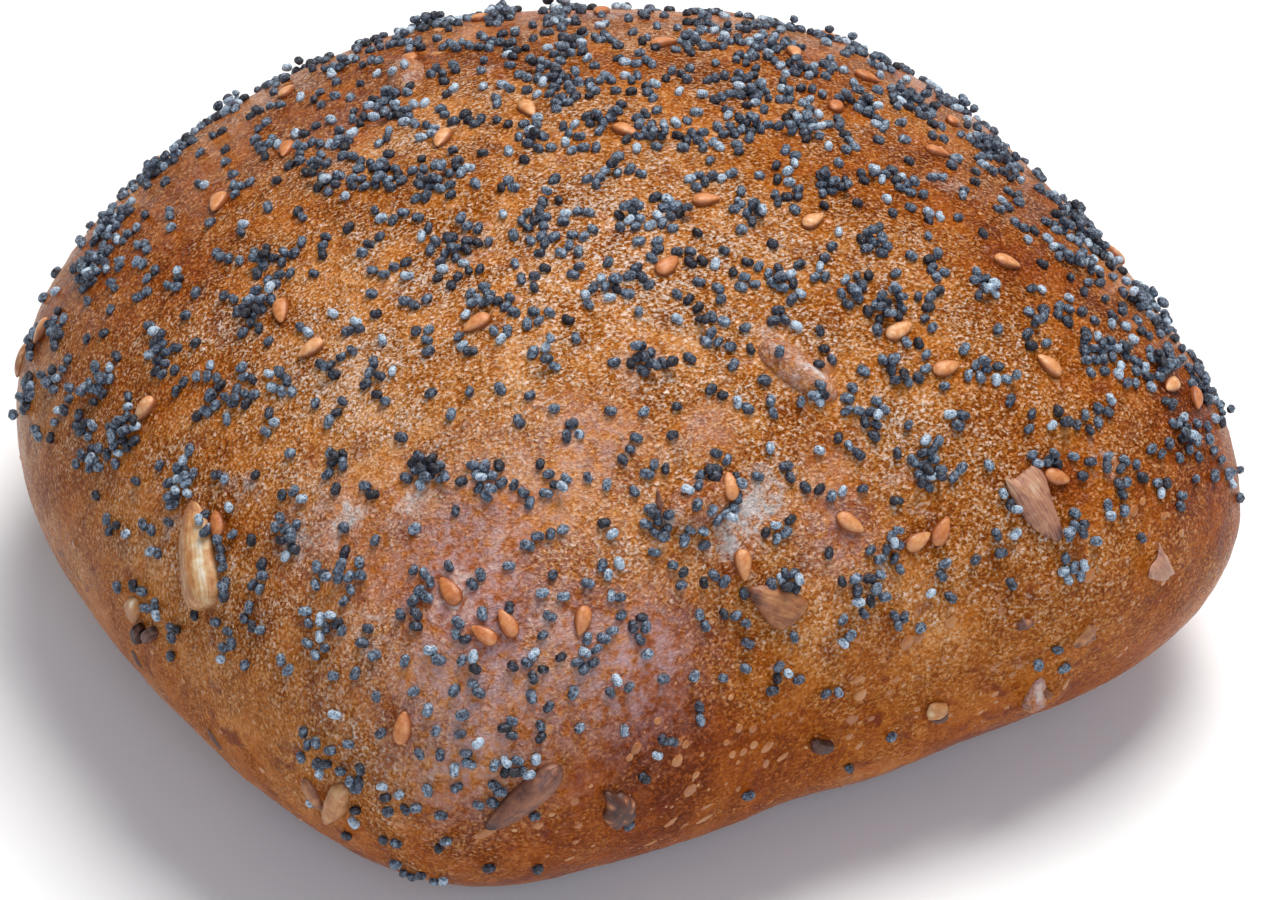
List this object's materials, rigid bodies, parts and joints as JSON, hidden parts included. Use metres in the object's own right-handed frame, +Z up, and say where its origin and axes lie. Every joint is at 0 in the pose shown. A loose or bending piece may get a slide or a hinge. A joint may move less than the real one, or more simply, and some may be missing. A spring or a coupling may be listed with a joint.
{
  "type": "bread roll",
  "caption": "Rounded-square bread roll with a browned, glossy crust, topped with clumps of poppy seeds, sesame seeds and sunflower kernels, standing on its flat base.",
  "frame": {"origin": "middle of the flat base that the roll was baked on", "axes": "+Z up through the crown, +X along the slightly longer side of the rounded square, +Y along the other side"},
  "size_m": [0.1055, 0.1048, 0.0509],
  "materials": {
    "crust": "browned bread crust, satin to glossy, uneven"
  },
  "bodies": {
    "root": {"roll": "crust"}
  },
  "joints": []
}
